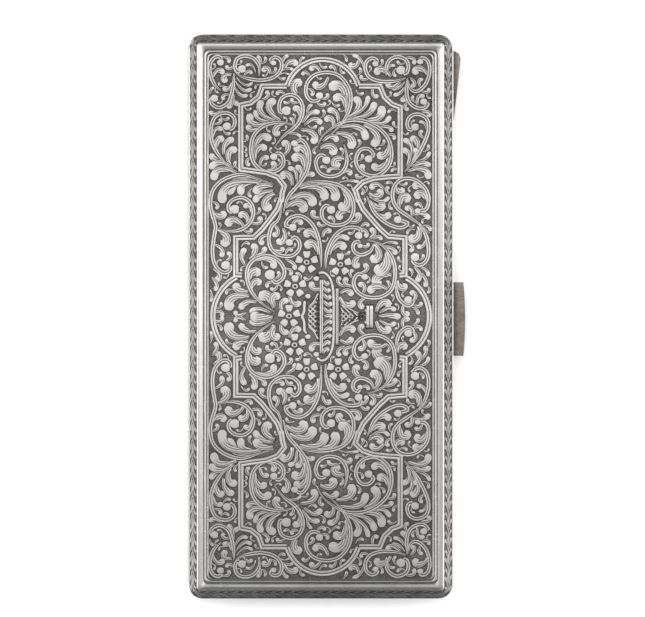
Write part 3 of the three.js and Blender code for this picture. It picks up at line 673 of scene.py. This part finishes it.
def bar(bm, points, half, top=-0.02, grooved=False, spacing=0.6):
    """A plain or double-lined strip along a smooth line, kept free of leaves."""
    spine = smooth_through(points, spacing)
    width = np.full(len(spine), half)
    strip(bm, spine, width, width, top, grooved=grooved)
    taken.extend((x, y, half + 0.1) for x, y in spine)
    taken.extend((x, -y, half + 0.1) for x, y in spine)


# the vase: rim, band, latticed bowl, foot and neck, all across the middle line
bar(middle, [(0.2, -9.0), (0.2, 9.0)], 0.42, grooved=True)
LIP = [(-0.9, 9.1), (-0.4, 10.0), (0.8, 10.2), (2.1, 9.0), (2.85, 6.7), (3.05, 3.2)]
bar(middle, [(x, -y) for x, y in LIP] + [(3.05, 0)] + LIP[::-1], 0.38)
for step in range(-5, 6):
    side = (step > 0) - (step < 0)
    bulge = 2.25 - step * step * 0.03
    leaf(middle, 0.6, step * 1.6 + side * 0.8, bulge, step * 1.6 - side * 0.3, 0.68, -side * 0.5 or 0.02, -0.05)
bar(middle, [(3.85, -7), (3.85, 7)], 0.36, grooved=True)


def lattice(bm, low, high, outline):
    """Crossed bars between two curved outlines."""
    for side in (-1, 1):
        bar(bm, [(x, side * outline(x)) for x in np.linspace(low, high, 6)], 0.22, -0.02)
        for start in np.arange(low - 7.2, high + 7.2, 1.15):
            inside = [x for x in np.linspace(low, high, 60) if abs(x - start) < outline(x)]
            if len(inside) > 6:
                ends = [(x, side * (x - start)) for x in (inside[0], sum(inside) / len(inside), inside[-1])]
                bar(bm, ends, 0.23, -0.06 - 0.02 * side)


lattice(middle, 4.5, 9.9, lambda x: 0.7 + 3.3 * (max(0.0, 9.9 - x) / 5.4) ** 2)
lattice(middle, -3.2, -0.2, lambda x: 2.3 + 4.0 * (max(0.0, x + 3.2) / 3.0) ** 2)
bar(middle, [(11.4, -3), (11.4, 3)], 0.85, grooved=True)
bar(middle, [(-2.9, -4.3), (-3.7, -3.3), (-3.8, -1.2), (-4.3, 0), (-3.8, 1.2), (-3.7, 3.3), (-2.9, 4.3)], 0.42)
for side in (-1, 1):
    bud(middle, -2.9, side * 4.7, 0.7, -0.01)
    bud(middle, -0.95, side * 8.8, 0.72, -0.03)
    bar(middle, [(10.0, side * 0.6), (10.6, side * 1.6), (10.7, side * 3.1)], 0.25)
leaf(middle, 12.9, 0.0, 17.9, 0.0, 0.85, 0.02, -0.04)
leaf(middle, -10.6, 0.0, -15.2, 0.0, 1.3, 0.02, -0.03)
for side in (-1, 1):
    leaf(middle, 12.8, side * 0.6, 15.6, side * 3.0, 1.05, side * 0.9, -0.05)
    leaf(middle, 13.4, side * 0.5, 17.0, side * 1.7, 0.7, side * 0.5, -0.06)
    leaf(middle, 4.2, side * 5.0, 7.4, side * 3.0, 0.95, -side * 0.9, -0.05)
    leaf(middle, 4.2, side * 5.2, 7.0, side * 5.4, 0.85, side * 0.7, -0.06)

# ---- Lid: leaves that fill the gaps ----
# More leaves grow from the stems wherever one fits, the largest first, so that only narrow
# strips of the hatched ground are left between them.
GRID = 0.1
LOW_X, HIGH_X, HIGH_Y = -25.9, 25.9, 60.6
grid_x = np.arange(LOW_X, HIGH_X + GRID, GRID)
grid_y = np.arange(0, HIGH_Y + GRID, GRID)
mesh_x, mesh_y = np.meshgrid(grid_x, grid_y, indexing="ij")
room = np.minimum(np.minimum(mesh_x - LOW_X, HIGH_X - mesh_x), np.minimum(HIGH_Y - mesh_y, mesh_y + 0.2))


def cover(x, y, radius):
    """Takes a disc out of the free room."""
    reach = radius + 2.2
    a, b = (max(0, int((x - reach - LOW_X) / GRID)), max(0, int((x + reach - LOW_X) / GRID) + 1))
    c, d = (max(0, int((y - reach) / GRID)), max(0, int((y + reach) / GRID) + 1))
    if b <= a or d <= c:
        return
    window = np.hypot(mesh_x[a:b, c:d] - x, mesh_y[a:b, c:d] - y) - radius
    room[a:b, c:d] = np.minimum(room[a:b, c:d], window)


for disc in taken:
    cover(*disc)


def room_at(x, y):
    """The free distance round each of some points."""
    i = np.clip(np.round((x - LOW_X) / GRID).astype(int), 0, len(grid_x) - 1)
    j = np.clip(np.round(y / GRID).astype(int), 0, len(grid_y) - 1)
    inside = (x > LOW_X) & (x < HIGH_X) & (y > 0) & (y < HIGH_Y)
    return np.where(inside, room[i, j], -9.0)


TEST_STEPS = np.array([0.6, 0.75, 0.88, 1.0])


def grow(tails, directions, lengths, spreads, gap):
    """Leaves from given tails, each in the direction and with the curl that leaves room for it."""
    for length, radius in lengths:
        options = []
        for spread in spreads:
            for turn in (-0.9, 0.9):
                angle = directions + spread
                heads = tails + length * np.column_stack([np.cos(angle), np.sin(angle)])
                options.extend((*tail, *head, turn) for tail, head in zip(tails, heads))
        widths = radius * (0.1 + 0.85 * TEST_STEPS)
        for option in options:
            tail, head, turn = option[0:2], option[2:4], option[4]
            if room_at(np.array([head[0]]), np.array([head[1]]))[0] < radius + gap:
                continue
            line = curve_between(tail, head, turn, TEST_STEPS)
            if (room_at(line[:, 0], line[:, 1]) < widths + gap).any():
                continue
            count = len(taken)
            leaf(leaves, *tail, *head, radius, turn, -0.08 - 0.05 * (len(taken) * 0.618 % 1))
            for disc in taken[count:]:
                if math.dist(disc[:2], tail) > 0.3 * length:
                    cover(*disc)


stem_tails = np.vstack([line[1:-1:1] for line in stem_lines])
stem_ways = np.concatenate([np.arctan2(*np.gradient(line, axis=0)[1:-1:1].T[::-1]) for line in stem_lines])
SPREADS = [math.radians(a) for a in (35, -35, 55, -55, 75, -75)]
grow(stem_tails, stem_ways, [(4.6, 1.3), (3.8, 1.15), (3.1, 1.0), (2.5, 0.8), (2.0, 0.62)], SPREADS, 0.0)

strap_tails = np.array([point for line in STRAPS for point in smooth_through(line, 0.8)])
loose_x, loose_y = np.meshgrid(np.arange(-25.5, 25.6, 0.7), np.arange(0.5, 60.5, 0.7))
loose = np.column_stack([loose_x.ravel(), loose_y.ravel()])
loose = np.vstack([loose[room_at(loose[:, 0], loose[:, 1]) < 0.4], strap_tails])
ways = np.arange(len(loose)) * 2.399
ROUND = [math.radians(a) for a in range(0, 360, 40)]
grow(loose, ways, [(3.2, 0.85), (2.6, 0.68), (2.0, 0.5), (1.6, 0.4)], ROUND, 0.0)

MIRROR_Y = Matrix.Scale(-1, 4, (0, 1, 0))
ON_LID = Matrix.Translation((0, 0, 12))
ON_BACK = Matrix.Rotation(math.pi, 4, "X")
SIDES = {"lid": (ON_LID, "lid", "lid"), "back": (ON_BACK, "base", "back")}
for matrix, body, word in SIDES.values():
    add_piece(stems.copy(), word + "_stems_upper", body, [cut_silver], matrix)
    add_piece(stems.copy(), word + "_stems_lower", body, [cut_silver], matrix @ MIRROR_Y)
    add_piece(leaves.copy(), word + "_leaves_upper", body, [cut_silver], matrix)
    add_piece(leaves.copy(), word + "_leaves_lower", body, [cut_silver], matrix @ MIRROR_Y)
    add_piece(straps.copy(), word + "_straps_upper", body, [cut_silver], matrix)
    add_piece(straps.copy(), word + "_straps_lower", body, [cut_silver], matrix @ MIRROR_Y)
    add_piece(middle.copy(), word + "_centrepiece", body, [cut_silver], matrix)

# ---- Shells: lid and base ----
# Two shallow pans of sheet silver with leaning sides. Each face has a plain border with two
# cut lines round the sunk ground, and each side a sunk band between plain edges.

def painted_short_end_shade(tree, coords, colour, upper, lower):
    """Paints shade on the two short ends, each darkened by its own share."""
    where = node(tree, "ShaderNodeSeparateXYZ")
    feed(tree, where.inputs[0], coords)
    beyond = maths(tree, "SUBTRACT", maths(tree, "ABSOLUTE", where.outputs["Y"]),
                   maths(tree, "ABSOLUTE", where.outputs["X"]))
    share = ramp(tree, where.outputs["Y"], -0.02, 0.02, lower, upper)
    dark = blend_colour(tree, share, (0, 0, 0, 1), colour)
    return blend_colour(tree, ramp(tree, beyond, 0.0337, 0.036), colour, dark)


side_ground, tree = new_material("side_ground")
coords, finish = worn_finish(tree, (0.1, 0.095, 0.09, 1), (0.05, 0.048, 0.045, 1), 0.7, 0.45)
# the short ends of the side bands get painted shade, the lower end more
metal("side_ground", painted_short_end_shade(tree, coords, finish["Color"], 0.7, 0.45), finish["Height"], finish["Roughness"],
      tree)

side_cut, tree = new_material("side_ornament")
coords, finish = worn_finish(tree, (0.41, 0.395, 0.375, 1), (0.16, 0.15, 0.14, 1), 0.75, 0.4)
shine = ramp(tree, attribute(tree, "polish"), 0.45, 0.95)
shade = blend_colour(tree, shine, (0.04, 0.038, 0.035, 1), finish["Color"])
# the short ends of the side ornament get painted shade, the lower end more
metal("side_ornament", painted_short_end_shade(tree, coords, shade, 0.27, 0.12), finish["Height"], finish["Roughness"], tree)

border_oxide, tree = new_material("border_line")
coords, finish = worn_finish(tree, (0.1, 0.095, 0.09, 1), (0.03, 0.028, 0.026, 1), 0.7, 0.5)
metal("border_line", finish["Color"], finish["Height"], finish["Roughness"], tree)

inside_gilt, tree = new_material("inside_gilt")
coords, finish = worn_finish(tree, (0.72, 0.6, 0.38, 1), (0.42, 0.34, 0.22, 1), 0.6, 0.32)
metal("inside_gilt", finish["Color"], finish["Height"], finish["Roughness"], tree)


def corner_point(number, half_x, half_y, radius, z, corner=8):
    """One of the points of a rounded rectangle, counted round from the right-hand side."""
    quarter, step = divmod(number, corner)
    turned = math.radians(90 * quarter + 90 * step / (corner - 1))
    cx = (half_x - radius) * (1 if quarter in (0, 3) else -1)
    cy = (half_y - radius) * (1 if quarter in (0, 1) else -1)
    return Vector((cx + radius * math.cos(turned), cy + radius * math.sin(turned), z))


BORDER_RINGS = [
    # distance in from the edge, height, corner radius, material of the band that leads to it
    (1.36, 0.0, 1.1, 0), (1.44, -0.08, 1.1, 2), (1.56, -0.08, 1.1, 2), (1.64, 0.0, 1.1, 2),
    (2.06, 0.0, 1.1, 0), (2.14, -0.08, 1.1, 2), (2.26, -0.08, 1.1, 2), (2.34, 0.0, 1.1, 2),
    (2.58, 0.0, 1.1, 0), (2.63, -GROUND_DEPTH, 1.1, 1),
]


def shell(node_name, flip):
    """A shell cut from its plain form: softened edges, sunk bands on the sides, sunk face."""
    bm = bmesh.new()
    bm.from_mesh(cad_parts[node_name].data)
    bm.transform(Matrix.Scale(1000, 4))
    if flip:
        bm.transform(Matrix.Translation((0, 0, 12)) @ Matrix.Rotation(math.pi, 4, "X"))
    bmesh.ops.remove_doubles(bm, verts=bm.verts, dist=1e-3)
    bmesh.ops.dissolve_limit(bm, angle_limit=0.004, verts=bm.verts, edges=bm.edges)
    lean = [f for f in bm.faces if 0.2 < f.normal.z < 0.7 and f.normal.dot(f.calc_center_median()) > 0]
    bmesh.ops.inset_region(bm, faces=lean, thickness=0.28, depth=0, use_even_offset=True, use_boundary=True)
    bmesh.ops.inset_region(bm, faces=lean, thickness=0.04, depth=-0.14, use_even_offset=True, use_boundary=True)
    for face in lean:
        face.material_index = 4
    for face in bm.faces:
        centre = face.calc_center_median()
        if abs(centre.x) < 30 and abs(centre.y) < 65 and centre.z < 11.5 and face.material_index == 0:
            outward = Vector((centre.x / 31, centre.y / 66, 1.0))
            if face.normal.dot(outward) < 0 and centre.z > 6.3:
                face.material_index = 3
    top = [f for f in bm.faces if f.normal.z > 0.999 and f.calc_center_median().z > 11.99]
    edge_loop = list({e for f in top for e in f.edges})
    softened = bmesh.ops.bevel(bm, geom=edge_loop, offset=0.16, offset_type="OFFSET", segments=3, profile=0.5,
                               affect="EDGES", material=-1)
    top = [f for f in bm.faces if f.normal.z > 0.999 and f.calc_center_median().z > 11.99]
    border = max(top, key=lambda f: f.calc_area())
    loop = list(border.edges)
    bmesh.ops.delete(bm, geom=[border], context="FACES_ONLY")
    ring = bmesh.ops.create_circle(bm, segments=32, radius=1)["verts"]
    ring.sort(key=lambda vert: round(math.atan2(vert.co.y, vert.co.x) / math.tau * 32) % 32)
    edges = list({edge for vert in ring for edge in vert.link_edges})
    for number, (inset, height, radius, kind) in enumerate(BORDER_RINGS):
        if number:
            grown = bmesh.ops.extrude_edge_only(bm, edges=edges)["geom"]
            fresh = {tuple(item.co): item for item in grown if isinstance(item, bmesh.types.BMVert)}
            ring = [fresh[tuple(vert.co)] for vert in ring]
            edges = [item for item in grown if isinstance(item, bmesh.types.BMEdge) and item.is_boundary]
            for item in grown:
                if isinstance(item, bmesh.types.BMFace):
                    item.material_index = kind
        for index, vert in enumerate(ring):
            vert.co = corner_point(index, 28.6 - inset, 63.45 - inset, radius, 12 + height)
        if not number:
            bmesh.ops.triangle_fill(bm, edges=loop + edges, use_beauty=True, use_dissolve=True)
    ground = bmesh.ops.contextual_create(bm, geom=edges)["faces"]
    ground[0].material_index = 1
    bmesh.ops.recalc_face_normals(bm, faces=bm.faces)
    return bm


back_to_base = Matrix.Rotation(math.pi, 4, "X") @ Matrix.Translation((0, 0, -12))
lid_case = add_piece(shell("lid_shell", False), "lid_case", "lid",
                     [plain_silver, ground_silver, border_oxide, inside_gilt, side_ground], smooth=0.5)
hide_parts("lid_shell")
base_case = add_piece(shell("base_shell", True), "base_case", "base",
                      [plain_silver, ground_silver, border_oxide, inside_gilt, side_ground], back_to_base, smooth=0.5)
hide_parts("base_shell")

# ---- Side bands ----
# Round all four sides and the corners runs a chain of pointed husks between two rows of
# slender leaves, cut in the same way as the face.
SLOPE = math.hypot(2.4, 5.2)
STRAIGHT_X, STRAIGHT_Y, CORNER = 55.6, 125.3, 3.3


def chain(bm, length, gaps):
    """A flat running chain, left out over the openings. Up the side is +Y."""
    count = round(length / 4.35)
    pitch = length / count
    for step in range(count):
        start = step * pitch
        if any(low < start + pitch and start < high for low, high in gaps):
            continue
        leaf(bm, start + 0.2, 0.0, start + pitch * 0.55, 0.0, 0.78, 0.04, -0.02)
        leaf(bm, start + pitch * 0.45, 0.0, start + pitch * 0.98, 0.0, 0.45, 0.04, -0.03)
        for side in (-1, 1):
            leaf(bm, start - 0.6, side * 0.5, start + pitch * 0.42, side * 1.75, 0.62, -side * 0.5, -0.05)
            leaf(bm, start + 1.2, side * 0.9, start + pitch * 0.86, side * 1.35, 0.55, -side * 0.6, -0.06)
            leaf(bm, start + 0.9, side * 2.2, start + pitch * 0.84, side * 2.2, 0.34, side * 0.3, -0.07)


def wrapped(vert):
    """The place on the leaning sides of a point of the flat chain."""
    along, up, out = vert
    share = min(1.0, max(0.0, up / SLOPE + 0.5))
    radius = 3.5 - 2.9 * share
    half_x, half_y = 27.5 + 0.5 * share, 62.35 + 0.5 * share
    x, y, angle = half_x, -half_y, 0.0
    for quarter in range(4):
        straight, half = ((STRAIGHT_Y, half_y), (STRAIGHT_X, half_x))[quarter % 2]
        turn = math.radians(90 * quarter)
        ahead = Vector((-math.sin(turn), math.cos(turn), 0))
        run = min(along, straight)
        centre = Vector((x, y, 0)) + ahead * (run / straight * 2 * half)
        angle = turn
        along -= straight
        if along <= 0:
            break
        if along < CORNER or quarter == 3:
            angle += math.radians(90) * min(1, along / CORNER)
            break
        along -= CORNER
        x, y = centre.x, centre.y
    way = Vector((math.cos(angle), math.sin(angle), 0))
    normal = Vector((way.x * 5.2, way.y * 5.2, 2.4)) / SLOPE
    return centre + way * radius + Vector((0, 0, 6.8 + 5.2 * share)) + normal * out


LENGTH = 2 * (STRAIGHT_X + STRAIGHT_Y + 2 * CORNER)
BASE_GAPS = [(51.0, 74.5), (-1.0, 19.5)]
for body, turn, openings in (("lid", Matrix.Identity(4), []), ("base", back_to_base, BASE_GAPS)):
    run = new_relief()
    chain(run, LENGTH, openings)
    for vert in run.verts:
        vert.co = wrapped(vert.co)
    # beside the hinge the chain stops where the shell does, so that the lid can open
    stop = Vector((-math.sin(math.radians(56)), 0, -math.cos(math.radians(56))))
    everything = run.verts[:] + run.edges[:] + run.faces[:]
    bmesh.ops.bisect_plane(run, geom=everything, plane_co=Vector((-29.7, 0, 6)) - stop * 0.1, plane_no=stop,
                           clear_outer=True)
    bmesh.ops.holes_fill(run, edges=[edge for edge in run.edges if edge.is_boundary])
    bmesh.ops.recalc_face_normals(run, faces=run.faces)
    add_piece(run, body + "_side_chain", body, [side_cut], turn)

# ---- Hinge ----
# Seven knuckles of drawn silver tube, soldered to the two shells in turn, on a steel pin.
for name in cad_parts:
    if "knuckle" in name and "leaf" not in name:
        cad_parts[name].data.materials[0] = plain_silver

# ---- Steel and gilt parts ----
# The springs, pins and rivets are bare steel. The bezel, the keeper and the card leaf keep
# the gilding of the inside.
spring_steel, tree = new_material("bare_steel")
coords, finish = worn_finish(tree, (0.5, 0.5, 0.5, 1), (0.25, 0.23, 0.2, 1), 0.5, 0.3)
metal("bare_steel", finish["Color"], finish["Height"], finish["Roughness"], tree)

nickel, tree = new_material("worn_nickel")
coords, finish = worn_finish(tree, (0.26, 0.23, 0.205, 1), (0.12, 0.1, 0.085, 1), 0.8, 0.34)
where = node(tree, "ShaderNodeSeparateXYZ")
feed(tree, where.inputs[0], coords)
# painted shadow: the nickel is darkest next to the case and lightens outward; the near-black colour below carries
# this shadow and the brushed grain
painted_shadow_by_case = ramp(tree, where.outputs["X"], 0.0311, 0.0326, 0.4, 1.0)
brushed = ramp(tree, noise(tree, stretched(tree, coords, (500, 3600, 500)), 1.0, 2), 0.3, 0.7, 0.75, 1.0)
shade = blend_colour(tree, maths(tree, "MULTIPLY", painted_shadow_by_case, brushed), (0.02, 0.018, 0.016, 1), finish["Color"])
metal("worn_nickel", shade, maths(tree, "ADD", finish["Height"], brushed), finish["Roughness"], tree)

FINISHES = {"spring_steel": spring_steel, "worn_nickel": nickel, "gilt_silver": inside_gilt}
for name, node_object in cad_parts.items():
    for place in node_object.material_slots:
        for word, material in FINISHES.items():
            if place.material and word in place.material.name:
                place.material = material
